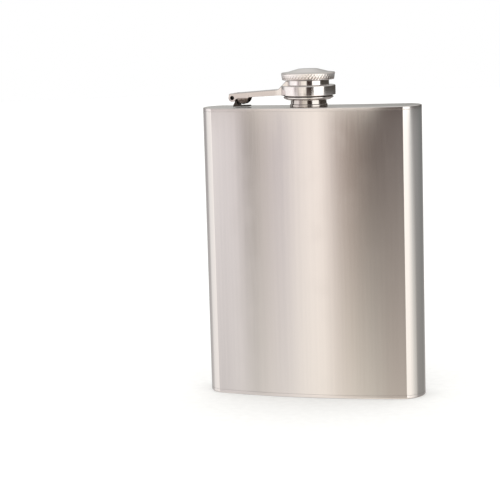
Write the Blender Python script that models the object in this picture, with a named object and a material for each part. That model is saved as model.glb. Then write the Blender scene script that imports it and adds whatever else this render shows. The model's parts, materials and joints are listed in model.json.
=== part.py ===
"""A hip flask with a captive screw cap on a hinged arm.

The frame is in metres with +Z up. The origin is the middle of the base, the convex front of the
body faces -Y, and the hinge of the cap's arm is on the -X side of the neck.
Lengths below are in millimetres, and MM turns them into metres.
"""

import math

import bmesh
import bpy

MM = 0.001
GAP = 0.3  # between two pieces that touch
CHAMFER = 0.3  # on the edge of a turned piece

# Body: a kidney section of three kinds of arc, drawn up to BODY_HEIGHT.
BODY_WIDTH = 95.0
BODY_HEIGHT = 124.0
CREASE_X = 41.5  # where the front face meets a rounded end, in a soft crease
FRONT_RISE = 4.0  # how far the front face bulges between its creases
END_RADIUS = 12.0
BACK_CORNER_X = 41.5  # where a rounded end meets the hollow back
BACK_RISE = 3.6  # how far the back face curves in between its corners
WALL = 0.7
RIM_RADIUS = 1.1  # the rounded edge of each end plate
RIM_HEIGHT = 1.5  # how far an end plate's turned edge reaches along the body

# Neck: heights H are measured from the top of the body.
NECK_BORE_R = 6.0
NECK_SPIGOT_R = 6.9
NECK_SPIGOT_H = -2.0
NECK_FOOT_R = 8.0
NECK_FOOT_H = 1.1
NECK_BASE_R = 7.65
NECK_COLLAR_R = 7.5
NECK_COLLAR_H = 3.4
NECK_THREAD_R = 6.95  # between the turns of the thread
NECK_TOP_H = 7.5
THREAD_DEPTH = 0.5
THREAD_PITCH = 1.5
THREAD_CLEARANCE = 0.4  # lets the arm swing the cap off without turning it
THREAD_ROOT = 0.36  # half the width of a turn at its root, as a share of the pitch
THREAD_CREST = 0.12  # and at its crest
THREAD_FADE = 0.2  # of a turn, at each end of a thread
THREAD_LEAST = 0.2  # the share of its height that a faded end keeps
THREAD_BURIED = 0.25  # how deep a thread's root goes into its wall

# Arm: one stamping, with the cap's hood at one end and two ears round the pin at the other.
PIVOT_X = -32.7
PIVOT_H = 4.05
SHEET = 0.6
HOOD_R = 11.5
HOOD_BOTTOM_H = 4.8
HOOD_SHOULDER_H = 9.0
HOOD_ROUND = 0.9
COLLAR_R = 8.8
COLLAR_TOP_H = 11.4
ARM_WIDTH = 7.0
EAR_R = 1.65
EAR_TOP_H = 6.0
EAR_LENGTH = 2.6  # how far the ears stand clear of the web between them
EAR_ARC = (-20.0, -230.0)  # degrees, round the back of the ears from below to above
RAMP_FOOT_X = -12.5
RAMP_FOOT_H = 7.4
RAMP_TOP_X = -9.0
RAMP_TOP_H = 10.9
BEAM_BOTTOM_H = 4.85
LUG_X = 4.9  # from the pivot to the middle of the round lug under each side
LUG_HALF = 2.45
LUG_TOP_H = 4.0
LUG_BOTTOM_H = 1.35

# Hinge: a bracket on the top plate, and a rolled pin.
PIN_R = 0.8
PIN_BORE_R = 0.45
PIN_LENGTH = 7.2
PIN_SLIT = 40.0  # degrees that the rolled pin's slit takes up
KNUCKLE_R = 1.6
KNUCKLE_ARC = (30.0, 275.0)  # degrees, over the pin and down the back of the post
POST_FRONT = 2.75  # from the pivot to the side of the post that faces the neck
POST_BACK = 0.3
FOOT_LENGTH = 6.8
FOOT_THICKNESS = 0.6

# Cap: the knurled crown above the arm, and the threaded sleeve inside its hood.
CROWN_TOP_H = 15.9
CROWN_FLAT_R = 4.0
CROWN_EDGE_H = 14.35
CROWN_TOP_R = 11.45
CROWN_BOTTOM_R = 11.1
CROWN_BOTTOM_H = 11.25
CROWN_RECESS_R = 9.3
STEM_R = 4.0
FLOAT = 0.4  # how far the cap can rise in the arm
WASHER_R = 8.6
WASHER_THICKNESS = 0.5
SLEEVE_BOTTOM_H = 2.9
SLEEVE_R = 10.2
SLEEVE_STEP_H = 7.6
SLEEVE_TOP_H = 10.0
SLEEVE_TOP_R = 7.85
SLEEVE_CEILING_H = 8.9
BEAD_R = 10.6
BEAD_BOTTOM_R = 9.2
BEAD_TOP_H = 4.6
SEAT_R = 7.35
SEAT_H = 7.1
GASKET_IN_R = 3.6
GASKET_THICKNESS = 0.8
RIVET_R = 1.5
RIVET_HEAD_R = 3.2
RIVET_TOP_H = 13.2

ROUND_STEPS = 48
SMALL_STEPS = 24
FRONT_STEPS = 10  # across half of the front face
END_STEPS = 10
BACK_STEPS = 8
EDGE_STEPS = 4
THREAD_STEPS = 24  # each turn

SMOOTH_BELOW = math.radians(30)

FINISHES = {  # colour, roughness, metallic
    "brushed_steel": ((0.62, 0.59, 0.57), 0.32, 1.0),
    "polished_steel": ((0.80, 0.78, 0.76), 0.10, 1.0),
    "hinge_steel": ((0.25, 0.24, 0.23), 0.35, 1.0),
    "seal_rubber": ((0.85, 0.84, 0.80), 0.60, 0.0),
}


# Outlines


def arc(centre, radius, start, end, steps):
    """Points on an arc from angle start to angle end, in degrees."""
    angles = [math.radians(start + (end - start) * i / steps) for i in range(steps + 1)]
    return [(centre[0] + radius * math.cos(a), centre[1] + radius * math.sin(a)) for a in angles]


def arc_radius(half_chord, rise):
    return (half_chord**2 + rise**2) / (2 * rise)


def angle_to(centre, point):
    return math.degrees(math.atan2(point[1] - centre[1], point[0] - centre[0]))


def crossings(centre_a, radius_a, centre_b, radius_b):
    """The two points where two circles cross."""
    dx = centre_b[0] - centre_a[0]
    dy = centre_b[1] - centre_a[1]
    apart = math.hypot(dx, dy)
    along = (radius_a**2 - radius_b**2 + apart**2) / (2 * apart)
    aside = math.sqrt(radius_a**2 - along**2)
    foot = (centre_a[0] + along * dx / apart, centre_a[1] + along * dy / apart)
    turn = (-aside * dy / apart, aside * dx / apart)
    return (foot[0] + turn[0], foot[1] + turn[1]), (foot[0] - turn[0], foot[1] - turn[1])


END_X = BODY_WIDTH / 2 - END_RADIUS
FRONT_TO_END = math.sqrt(END_RADIUS**2 - (CREASE_X - END_X) ** 2)
END_TO_BACK = math.sqrt(END_RADIUS**2 - (BACK_CORNER_X - END_X) ** 2)
BODY_DEPTH = FRONT_RISE + FRONT_TO_END + END_TO_BACK
MIDDLE_DEPTH = BODY_DEPTH - BACK_RISE
HOOD_OVERHANG = HOOD_R - MIDDLE_DEPTH / 2  # how far the hood reaches past the front of the body
FRONT_Y = (HOOD_OVERHANG - BODY_DEPTH) / 2  # this puts the origin under the middle of the whole flask
END_Y = FRONT_Y + FRONT_RISE + FRONT_TO_END
BACK_Y = FRONT_Y + MIDDLE_DEPTH
NECK_Y = FRONT_Y + MIDDLE_DEPTH / 2


def body_outline(inset):
    """The body's section, anticlockwise from the middle of the front, moved in by inset."""
    front_radius = arc_radius(CREASE_X, FRONT_RISE)
    back_radius = arc_radius(BACK_CORNER_X, BACK_RISE)
    front_centre = (0.0, FRONT_Y + front_radius)
    back_centre = (0.0, BACK_Y + back_radius)
    end_centre = (END_X, END_Y)
    front_radius -= inset
    back_radius += inset
    end_radius = END_RADIUS - inset
    crease = max(crossings(front_centre, front_radius, end_centre, end_radius))
    corner = max(crossings(back_centre, back_radius, end_centre, end_radius))
    front = arc(front_centre, front_radius, -90, angle_to(front_centre, crease), FRONT_STEPS)
    end = arc(end_centre, end_radius, angle_to(end_centre, crease), angle_to(end_centre, corner), END_STEPS)
    back = arc(back_centre, back_radius, angle_to(back_centre, corner), -90, BACK_STEPS)
    right = front[:-1] + end[:-1] + back
    left = [(-x, y) for x, y in reversed(right[1:-1])]
    return right + left


# Meshes


def link(obj):
    bpy.context.scene.collection.objects.link(obj)
    return obj


def finish(name, mesh, material, axis=None):
    """Turns a bmesh drawn in place into an object, with its origin on its axis if it has one."""
    bmesh.ops.recalc_face_normals(mesh, faces=mesh.faces)
    data = bpy.data.meshes.new(name)
    if axis:
        bpy.context.view_layer.update()
        bmesh.ops.translate(mesh, verts=mesh.verts, vec=-axis.matrix_world.translation)
    mesh.to_mesh(data)
    mesh.free()
    data.shade_smooth()
    data.set_sharp_from_angle(angle=SMOOTH_BELOW)
    if material:
        data.materials.append(material)
    obj = link(bpy.data.objects.new(name, data))
    obj.parent = axis
    return obj


def bridge(mesh, ring_a, ring_b):
    count = len(ring_a)
    for i in range(count):
        j = (i + 1) % count
        mesh.faces.new((ring_a[i], ring_a[j], ring_b[j], ring_b[i]))


def body_stack(levels, hollow):
    """A bmesh through the body's section at each (inset, height); a hollow one closes on itself."""
    mesh = bmesh.new()
    rings = []
    for inset, height in levels:
        points = body_outline(inset)
        rings.append([mesh.verts.new((x * MM, y * MM, height * MM)) for x, y in points])
    for ring, after in zip(rings, rings[1:]):
        bridge(mesh, ring, after)
    if hollow:
        bridge(mesh, rings[-1], rings[0])
    else:
        mesh.faces.new(rings[0])
        mesh.faces.new(rings[-1])
    return mesh


def turned(outline, steps=ROUND_STEPS):
    """A bmesh of an outline of (radius, H) points, turned about the neck's axis."""
    mesh = bmesh.new()
    rings = []
    for radius, height in outline:
        z = (BODY_HEIGHT + height) * MM
        if radius == 0:
            rings.append([mesh.verts.new((0, NECK_Y * MM, z))] * steps)
            continue
        circle = arc((0, NECK_Y), radius, 0, 360, steps)[:-1]
        rings.append([mesh.verts.new((x * MM, y * MM, z)) for x, y in circle])
    for ring, after in zip(rings, rings[1:] + rings[:1]):
        for i in range(steps):
            j = (i + 1) % steps
            corners = list(dict.fromkeys((ring[i], ring[j], after[j], after[i])))
            if len(corners) > 2:
                mesh.faces.new(corners)
    return mesh


def extruded(outline, width):
    """A bmesh of an outline of (x, H) points, as wide as width along Y and centred on the arm."""
    mesh = bmesh.new()
    near = NECK_Y - width / 2
    points = [mesh.verts.new((x * MM, near * MM, (BODY_HEIGHT + h) * MM)) for x, h in outline]
    face = mesh.faces.new(points)
    moved = bmesh.ops.extrude_face_region(mesh, geom=[face])["geom"]
    verts = [item for item in moved if isinstance(item, bmesh.types.BMVert)]
    bmesh.ops.translate(mesh, verts=verts, vec=(0, width * MM, 0))
    return mesh


def thread(root_r, crest_r, bottom_h, top_h):
    """A bmesh of a helical ridge that fades in and out, with its root buried in the wall."""
    mesh = bmesh.new()
    inwards = 1 if crest_r > root_r else -1
    buried_r = root_r - inwards * THREAD_BURIED
    turns = (top_h - bottom_h) / THREAD_PITCH
    count = round(turns * THREAD_STEPS)
    half_root = THREAD_PITCH * THREAD_ROOT
    half_crest = THREAD_PITCH * THREAD_CREST
    rings = []
    for i in range(count + 1):
        turn = turns * i / count
        angle = 2 * math.pi * turn
        height = bottom_h + THREAD_PITCH * turn
        grown = min(1, turn / THREAD_FADE, (turns - turn) / THREAD_FADE)
        tip_r = buried_r + (crest_r - buried_r) * max(grown, THREAD_LEAST)
        section = [
            (buried_r, height - half_root),
            (tip_r, height - half_crest),
            (tip_r, height + half_crest),
            (buried_r, height + half_root),
        ]
        ring = []
        for radius, h in section:
            x = radius * math.cos(angle)
            y = NECK_Y + radius * math.sin(angle)
            ring.append(mesh.verts.new((x * MM, y * MM, (BODY_HEIGHT + h) * MM)))
        rings.append(ring)
    for ring, after in zip(rings, rings[1:]):
        bridge(mesh, ring, after)
    mesh.faces.new(rings[0])
    mesh.faces.new(rings[-1])
    return mesh


def helper(name, mesh, axis=None):
    """A hidden shape that a Boolean joins to a piece or cuts from it."""
    shape = finish(name, mesh, None, axis)
    shape.hide_render = True
    shape.display_type = "WIRE"
    return shape


def combine(obj, operation, shape):
    modifier = obj.modifiers.new(shape.name, "BOOLEAN")
    modifier.operation = operation
    modifier.object = shape
    modifier.solver = "EXACT"


# Materials


def material(name):
    colour, roughness, metallic = FINISHES[name]
    made = bpy.data.materials.new(name)
    made.use_nodes = True
    shader = made.node_tree.nodes["Principled BSDF"]
    shader.inputs["Base Color"].default_value = (*colour, 1)
    shader.inputs["Roughness"].default_value = roughness
    shader.inputs["Metallic"].default_value = metallic
    return made


# Pieces


def body_wrap(metal):
    """The wrapped side wall, which is open at both ends."""
    low = RIM_HEIGHT + GAP
    high = BODY_HEIGHT - low
    levels = [(0, low), (0, high), (WALL, high), (WALL, low)]
    return finish("body_wrap", body_stack(levels, True), metal)


def end_plate(name, metal, end_z, inwards):
    """A shallow pan with a rounded edge that closes one end of the body; inwards is +1 or -1 in Z."""
    inner_round = RIM_RADIUS - WALL
    corner = (RIM_RADIUS, RIM_RADIUS)
    levels = arc(corner, inner_round, 270, 180, EDGE_STEPS // 2)
    levels += [(WALL, RIM_HEIGHT), (0, RIM_HEIGHT)]
    levels += arc(corner, RIM_RADIUS, 180, 270, EDGE_STEPS)
    placed = [(inset, end_z + inwards * depth) for inset, depth in levels]
    return finish(name, body_stack(placed, False), metal)


def top_plate(metal):
    plate = end_plate("top_plate", metal, BODY_HEIGHT, -1)
    hole_r = NECK_SPIGOT_R + GAP
    outline = [(0, -2 * WALL), (hole_r, -2 * WALL), (hole_r, WALL), (0, WALL)]
    combine(plate, "DIFFERENCE", helper("top_plate_hole", turned(outline)))


def neck(metal):
    """The pouring neck: a tube with a foot on the top plate and a thread for the cap."""
    foot = arc((NECK_FOOT_R, NECK_FOOT_H), NECK_FOOT_R - NECK_BASE_R, 270, 180, EDGE_STEPS)
    outline = [(NECK_BORE_R, NECK_SPIGOT_H), (NECK_SPIGOT_R, NECK_SPIGOT_H)]
    outline += [(NECK_SPIGOT_R, GAP), (NECK_FOOT_R, GAP)]
    outline += foot
    outline += [(NECK_COLLAR_R, NECK_COLLAR_H), (NECK_THREAD_R, NECK_COLLAR_H + THREAD_DEPTH)]
    outline += [(NECK_THREAD_R, NECK_TOP_H - CHAMFER), (NECK_THREAD_R - CHAMFER, NECK_TOP_H)]
    outline += [(NECK_BORE_R + CHAMFER, NECK_TOP_H), (NECK_BORE_R, NECK_TOP_H - CHAMFER)]
    tube = finish("neck", turned(outline), metal)
    crest_r = NECK_THREAD_R + THREAD_DEPTH
    ridge = thread(NECK_THREAD_R, crest_r, NECK_COLLAR_H + THREAD_PITCH, NECK_TOP_H - THREAD_PITCH / 2)
    combine(tube, "UNION", helper("neck_thread", ridge))


def hinge_bracket(metal):
    """The welded bracket: a foot on the top plate, a post, and a knuckle round the pin."""
    pivot = (PIVOT_X, PIVOT_H)
    foot_top = GAP + FOOT_THICKNESS
    front_x = PIVOT_X + POST_FRONT
    outline = [(PIVOT_X + POST_BACK, GAP), (PIVOT_X + FOOT_LENGTH, GAP), (PIVOT_X + FOOT_LENGTH, foot_top)]
    outline += [(front_x + CHAMFER, foot_top), (front_x, foot_top + CHAMFER), (front_x, PIVOT_H)]
    outline += arc(pivot, KNUCKLE_R, *KNUCKLE_ARC, ROUND_STEPS // 3)
    outline += [(PIVOT_X + POST_BACK, foot_top)]
    width = ARM_WIDTH - 2 * SHEET - 2 * GAP
    bracket = finish("hinge_bracket", extruded(outline, width), metal)
    hole = arc(pivot, PIN_R + GAP, 0, 360, SMALL_STEPS)[:-1]
    combine(bracket, "DIFFERENCE", helper("bracket_hole", extruded(hole, 2 * width)))


def hinge_pin(metal):
    """A rolled spring pin, with its slit underneath."""
    pivot = (PIVOT_X, PIVOT_H)
    start = -90 + PIN_SLIT / 2
    end = 270 - PIN_SLIT / 2
    outline = arc(pivot, PIN_R, start, end, SMALL_STEPS)
    outline += arc(pivot, PIN_BORE_R, end, start, SMALL_STEPS)
    finish("hinge_pin", extruded(outline, PIN_LENGTH), metal)


def beam_outline():
    """The side view of the arm from its ears to inside the hood."""
    pivot = (PIVOT_X, PIVOT_H)
    lug_centre = (PIVOT_X + LUG_X, LUG_TOP_H)
    drop = (LUG_TOP_H - LUG_BOTTOM_H) / LUG_HALF
    lug = arc((0, 0), LUG_HALF, 0, -180, SMALL_STEPS // 2)
    lug = [(lug_centre[0] + x, lug_centre[1] + drop * y) for x, y in lug]
    outline = [(RAMP_TOP_X + COLLAR_R / 2, BEAM_BOTTOM_H), (RAMP_FOOT_X, BEAM_BOTTOM_H)]
    outline += lug
    outline += arc(pivot, EAR_R, *EAR_ARC, SMALL_STEPS // 2)
    outline += [(PIVOT_X - GAP, EAR_TOP_H), (RAMP_FOOT_X, RAMP_FOOT_H), (RAMP_TOP_X, RAMP_TOP_H)]
    outline += [(RAMP_TOP_X + COLLAR_R / 2, RAMP_TOP_H)]
    return outline


def channel_outline():
    """The space inside the beam, which is open below and, between the ears, above."""
    web_x = PIVOT_X + EAR_LENGTH
    slope = (RAMP_FOOT_H - EAR_TOP_H) / (RAMP_FOOT_X - PIVOT_X)
    web_h = EAR_TOP_H + slope * EAR_LENGTH - SHEET
    end_x = -HOOD_R - SHEET
    end_h = web_h + slope * (end_x - web_x)
    below = PIVOT_H - HOOD_R
    beyond = PIVOT_X - HOOD_R
    outline = [(beyond, below), (end_x, below), (end_x, end_h), (web_x, web_h)]
    return outline + [(web_x, HOOD_R), (beyond, HOOD_R)]


def hood_outline(inset):
    """From the skirt's edge over the shoulder to the stem's hole, moved into the sheet by inset."""
    skirt_r = HOOD_R - inset
    collar_r = COLLAR_R - inset
    shoulder_h = HOOD_SHOULDER_H - inset
    top_h = COLLAR_TOP_H - inset
    round_r = HOOD_ROUND - inset
    outline = [(skirt_r, HOOD_BOTTOM_H)]
    outline += arc((skirt_r - round_r, shoulder_h - round_r), round_r, 0, 90, EDGE_STEPS)
    outline += [(collar_r, shoulder_h), (collar_r, top_h - CHAMFER), (collar_r - CHAMFER, top_h)]
    return outline + [(STEM_R + FLOAT, top_h)]


def lever_arm(metal, axis):
    """The stamped arm: ears, channel beam, ramp, and the hood that holds the cap."""
    beam = helper("arm_beam", extruded(beam_outline(), ARM_WIDTH), axis)
    core = [(0, 0), (HOOD_R - SHEET / 2, 0)]
    core += hood_outline(SHEET / 2)[1:-1]
    core += [(0, COLLAR_TOP_H - SHEET / 2)]
    combine(beam, "DIFFERENCE", helper("arm_beam_end", turned(core), axis))
    channel = extruded(channel_outline(), ARM_WIDTH - 2 * SHEET)
    combine(beam, "DIFFERENCE", helper("arm_channel", channel, axis))
    pin_hole = arc((PIVOT_X, PIVOT_H), PIN_R + GAP, 0, 360, SMALL_STEPS)[:-1]
    combine(beam, "DIFFERENCE", helper("arm_pin_hole", extruded(pin_hole, 2 * ARM_WIDTH), axis))
    hood = turned(hood_outline(0) + hood_outline(SHEET)[::-1])
    arm = finish("lever_arm", hood, metal, axis)
    combine(arm, "UNION", beam)


def cap_crown(metal, axis):
    """The knob above the arm, with a stem that passes through the collar."""
    ceiling_h = COLLAR_TOP_H + WASHER_THICKNESS + 2 * GAP
    stem_h = SLEEVE_TOP_H + GAP
    hole_r = RIVET_R + GAP
    outline = [(0, CROWN_TOP_H), (CROWN_FLAT_R, CROWN_TOP_H), (CROWN_TOP_R - CHAMFER, CROWN_EDGE_H)]
    outline += [(CROWN_TOP_R, CROWN_EDGE_H - CHAMFER), (CROWN_BOTTOM_R, CROWN_BOTTOM_H + CHAMFER)]
    outline += [(CROWN_BOTTOM_R - CHAMFER, CROWN_BOTTOM_H), (CROWN_RECESS_R, CROWN_BOTTOM_H)]
    outline += [(CROWN_RECESS_R, ceiling_h), (STEM_R, ceiling_h), (STEM_R, stem_h), (hole_r, stem_h)]
    outline += [(hole_r, RIVET_TOP_H + GAP), (0, RIVET_TOP_H + GAP)]
    finish("cap_crown", turned(outline), metal, axis)


def slip_washer(metal, axis):
    """The washer that the crown turns on."""
    low = COLLAR_TOP_H + GAP
    high = low + WASHER_THICKNESS
    inner_r = STEM_R + FLOAT
    outline = [(inner_r, low), (WASHER_R, low), (WASHER_R, high), (inner_r, high)]
    finish("slip_washer", turned(outline), metal, axis)


def threaded_sleeve(metal, axis):
    """The part of the cap that screws on to the neck, with a bead round its mouth."""
    crest_r = NECK_THREAD_R + THREAD_DEPTH + THREAD_CLEARANCE
    root_r = crest_r + THREAD_DEPTH + GAP / 3
    hole_r = RIVET_R + GAP
    outline = [(root_r - CHAMFER, SLEEVE_BOTTOM_H), (BEAD_BOTTOM_R, SLEEVE_BOTTOM_H)]
    outline += [(BEAD_R, BEAD_TOP_H - 2 * CHAMFER), (BEAD_R, BEAD_TOP_H - CHAMFER)]
    outline += [(BEAD_R - CHAMFER, BEAD_TOP_H), (SLEEVE_R, BEAD_TOP_H)]
    outline += [(SLEEVE_R, SLEEVE_STEP_H - CHAMFER), (SLEEVE_R - CHAMFER, SLEEVE_STEP_H)]
    outline += [(SLEEVE_TOP_R, SLEEVE_STEP_H), (SLEEVE_TOP_R, SLEEVE_TOP_H), (hole_r, SLEEVE_TOP_H)]
    outline += [(hole_r, SLEEVE_CEILING_H), (SEAT_R, SLEEVE_CEILING_H), (SEAT_R, SEAT_H)]
    outline += [(root_r, SEAT_H), (root_r, SLEEVE_BOTTOM_H + CHAMFER)]
    sleeve = finish("threaded_sleeve", turned(outline), metal, axis)
    ridge = thread(root_r, crest_r, SLEEVE_BOTTOM_H + THREAD_PITCH, SEAT_H - THREAD_PITCH / 2)
    combine(sleeve, "UNION", helper("sleeve_thread", ridge, axis))


def cap_rivet(metal, axis):
    """The rivet that holds the crown and the sleeve together through the collar."""
    head_top = SLEEVE_CEILING_H - GAP
    head_bottom = head_top - GASKET_THICKNESS
    outline = [(0, head_bottom), (RIVET_HEAD_R - 3 * CHAMFER, head_bottom)]
    outline += [(RIVET_HEAD_R, head_top - CHAMFER), (RIVET_HEAD_R, head_top), (RIVET_R, head_top)]
    outline += [(RIVET_R, RIVET_TOP_H), (0, RIVET_TOP_H)]
    finish("cap_rivet", turned(outline, SMALL_STEPS), metal, axis)


def gasket(rubber, axis):
    """The seal that closes on the rim of the neck."""
    low = NECK_TOP_H + GAP
    high = low + GASKET_THICKNESS
    outer_r = SEAT_R - GAP
    outline = [(GASKET_IN_R, low), (outer_r, low), (outer_r, high), (GASKET_IN_R, high)]
    finish("gasket", turned(outline), rubber, axis)


def joint_axis(name, place, parent=None):
    """An empty on a joint's axis, at a place given in the world."""
    empty = link(bpy.data.objects.new(name, None))
    empty.empty_display_size = ARM_WIDTH * MM
    bpy.context.view_layer.update()
    base = parent.matrix_world.translation if parent else (0, 0, 0)
    empty.parent = parent
    empty.location = [at * MM - start for at, start in zip(place, base)]
    return empty


def main():
    for old in list(bpy.data.objects):
        bpy.data.objects.remove(old, do_unlink=True)
    brushed = material("brushed_steel")
    polished = material("polished_steel")
    dark = material("hinge_steel")
    rubber = material("seal_rubber")
    arm_axis = joint_axis("arm_axis", (PIVOT_X, NECK_Y, BODY_HEIGHT + PIVOT_H))
    cap_axis = joint_axis("cap_axis", (0, NECK_Y, BODY_HEIGHT + SLEEVE_BOTTOM_H), arm_axis)
    body_wrap(brushed)
    top_plate(brushed)
    end_plate("bottom_plate", brushed, 0, 1)
    neck(polished)
    hinge_bracket(dark)
    hinge_pin(dark)
    lever_arm(polished, arm_axis)
    slip_washer(polished, cap_axis)
    cap_crown(polished, cap_axis)
    threaded_sleeve(polished, cap_axis)
    cap_rivet(polished, cap_axis)
    gasket(rubber, cap_axis)


main()
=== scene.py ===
"""The looks of the hip flask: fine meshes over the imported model, its steel, a studio and the camera.

Lengths are in millimetres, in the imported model's frame, and MM turns them into metres.
A height called H is measured from the top of the body.
"""

import json
import math

import bmesh
import bpy
from mathutils import Matrix, Vector


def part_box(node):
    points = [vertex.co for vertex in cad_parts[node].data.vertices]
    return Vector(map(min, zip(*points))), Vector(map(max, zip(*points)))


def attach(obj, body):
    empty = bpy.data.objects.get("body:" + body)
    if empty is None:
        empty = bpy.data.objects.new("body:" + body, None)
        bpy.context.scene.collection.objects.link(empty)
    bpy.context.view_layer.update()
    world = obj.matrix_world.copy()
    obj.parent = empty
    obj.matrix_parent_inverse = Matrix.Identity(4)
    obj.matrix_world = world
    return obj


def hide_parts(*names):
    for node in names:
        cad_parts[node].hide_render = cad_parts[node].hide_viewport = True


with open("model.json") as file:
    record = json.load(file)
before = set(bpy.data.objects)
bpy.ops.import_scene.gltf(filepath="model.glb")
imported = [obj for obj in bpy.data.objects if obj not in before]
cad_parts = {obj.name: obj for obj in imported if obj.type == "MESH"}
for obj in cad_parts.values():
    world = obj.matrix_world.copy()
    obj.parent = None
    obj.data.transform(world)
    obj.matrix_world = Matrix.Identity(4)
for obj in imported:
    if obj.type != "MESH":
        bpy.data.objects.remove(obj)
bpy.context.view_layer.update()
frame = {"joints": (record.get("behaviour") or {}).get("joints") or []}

MM = 0.001


def low(node):
    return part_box(node)[0] / MM


def high(node):
    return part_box(node)[1] / MM


# Body. Its section has a bulging front, a rounded end on each side and a hollow back.
TOP_Z = high("top_plate").z
BODY_WIDTH = 2 * high("body_wrap").x
FRONT_Y = low("body_wrap").y
BODY_DEPTH = high("body_wrap").y - FRONT_Y
CREASE_X = 41.5  # where the front meets the rounded ends
CREASE_ROUND = 1.3
FRONT_RISE = 4.0  # how far the front bulges
END_RADIUS = 12.0
BACK_RISE = 3.6  # how deep the back is hollowed
BACK_ROUND = 2.6
WALL = 0.7
GAP = 0.05  # between pieces that are welded or pressed together
RIM_RADIUS = 0.5  # the rounded edge of each end plate
RIM_HEIGHT = high("bottom_plate").z
SEAM = 0.045  # the groove between an end plate and the wall
SEAM_ROUND = 0.03
WALL_STEPS = 6  # rings along the height of the wall
FLANGE_DEPTH = 1.2  # how far an end plate's flange reaches inside the wall

# Neck
joints = {joint["name"]: joint for joint in frame["joints"]}
NECK_Y = joints["cap_turn"]["pos_m"][1] / MM
NECK_FOOT_R = high("neck").x
NECK_FOOT_LOW_H = 0.08
NECK_FOOT_H = 1.1
NECK_BASE_R = 7.65
NECK_BORE_R = 6.0
NECK_SPIGOT_R = 6.9
NECK_SPIGOT_H = low("neck").z - TOP_Z
NECK_COLLAR_R = 7.5
NECK_COLLAR_H = 3.4
NECK_THREAD_R = 6.95
NECK_TOP_H = high("neck").z - TOP_Z
THREAD_DEPTH = 0.5
THREAD_PITCH = 1.5
THREAD_RUNOUT = 0.25  # the part of a turn over which a thread starts or ends
THREAD_HALF = 0.38  # half the width of a thread at its root, in pitches
THREAD_FLANK = 0.2  # the width of each of its flanks, in pitches

# Arm and hinge
PIVOT_X = joints["arm_hinge"]["pos_m"][0] / MM
PIVOT_H = joints["arm_hinge"]["pos_m"][2] / MM - TOP_Z
SHEET = 0.6
HOOD_R = high("lever_arm").x
HOOD_BOTTOM_H = 4.8
HOOD_SHOULDER_H = 9.0
HOOD_ROUND = 0.5
COLLAR_R = 8.8
COLLAR_TOP_H = high("lever_arm").z - TOP_Z
STEM_R = 4.0
STEM_GAP = 0.4
ARM_WIDTH = 7.0
BEAM_WIDTH = 6.8  # the beam is narrower than its ears
BEAM_ROUND = 0.45  # the bends along the top of the beam
EDGE_ROUND = 0.12  # the other edges of the arm and the bracket
ROUND_FROM_H = 5.25  # where the eased edges start to give way to the bends
ROUND_TO_H = 6.05
BEAM_BOTTOM_H = 4.85
EAR_R = 1.65
EAR_TOP_H = 6.0
EAR_TIP_H = 5.9  # the top of the ears at their outer end
EAR_ARC = (-20, -205)  # degrees
EAR_LENGTH = 2.6
JOGGLE = (6.0, 9.0)  # from the pivot to where the ears start and end narrowing to the beam
BEND_CUTS = 6  # across each stretch of the arm that is bent
RAMP_FOOT = (-12.5, 7.4)  # X and H
RAMP_TOP = (-9.0, 10.9)
LUG_X = 4.6  # from the pivot to the middle of the lugs
LUG_HALF = 2.3
LUG_ARC = (-8, -172)  # degrees
LUG_TOE = (0.5, 0.3)  # where the beam's lower edge meets the lugs, past their end and above it
LUG_TOP_H = 4.0
LUG_BOTTOM_H = low("lever_arm").z - TOP_Z
LUG_CURL = 1.4  # how far the lower edge of each lug turns in
PIN_R = 0.8
PIN_BORE_R = 0.55
PIN_HOLE_R = 0.92
POST_HOLE_R = 0.86
PIN_LENGTH = high("hinge_pin").y - low("hinge_pin").y
PIN_SLIT = 40.0  # degrees
KNUCKLE_R = 1.6
BRACKET_WIDTH = high("hinge_bracket").y - low("hinge_bracket").y
POST_FRONT = 2.3  # from the pivot to the two faces of the post, at its foot
POST_BACK = 0.1
POST_LEAN = 0.3  # how far the front face leans back on its way up to the pin
KNUCKLE_ARC = (-4, 322)  # degrees, from the front face over the pin to the back face
FOOT_HEEL = 0.15  # how far the foot reaches behind the post
FOOT_LENGTH = 6.8
FOOT_LOW_H = low("hinge_bracket").z - TOP_Z
FOOT_TOP_H = 0.85

# Cap
WASHER_R = high("slip_washer").x
WASHER_LOW_H = low("slip_washer").z - TOP_Z
WASHER_TOP_H = high("slip_washer").z - TOP_Z
CROWN_TOP_H = high("cap_crown").z - TOP_Z
CROWN_FLAT_R = 4.0
CROWN_RING = (8.6, 14.65)  # where the dome meets the flatter ring round it
CROWN_EDGE_H = 14.35
CROWN_BEVEL = 0.35  # round the top of the rim
CROWN_CHAMFER = 0.25  # round its bottom
CROWN_TOP_R = high("cap_crown").x
CROWN_BOTTOM_R = 11.05
CROWN_BOTTOM_H = 11.25
CROWN_RECESS_R = 9.3
CROWN_CEILING_H = WASHER_TOP_H + 0.3
STEM_BOTTOM_H = low("cap_crown").z - TOP_Z
KNURL_COUNT = 50  # diamonds round the rim
KNURL_ROWS = 1.5  # diamonds up the rim
KNURL_DEPTH = 0.17
KNURL_CROSS = 0.8  # how deep the crossing grooves are beside the main ones
KNURL_FADE = 0.15  # from the rim's edges to where the grooves have their full depth
SLEEVE_BOTTOM_H = low("threaded_sleeve").z - TOP_Z
SLEEVE_TOP_H = high("threaded_sleeve").z - TOP_Z
SLEEVE_R = 10.2
SLEEVE_STEP_H = 7.6
SLEEVE_TOP_R = 7.85
SLEEVE_CEILING_H = 8.9
SLEEVE_ROOT_R = 8.45
SLEEVE_THREAD_DEPTH = THREAD_DEPTH + 0.1
BEAD_R = high("threaded_sleeve").x
BEAD_BOTTOM_R = 9.2
BEAD_LOW_H = SLEEVE_BOTTOM_H + 0.75
BEAD_TOP_H = 4.3
SEAT_R = 7.35
SEAT_H = 7.1
RIVET_R = 1.5
RIVET_HEAD_R = high("cap_rivet").x
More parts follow.
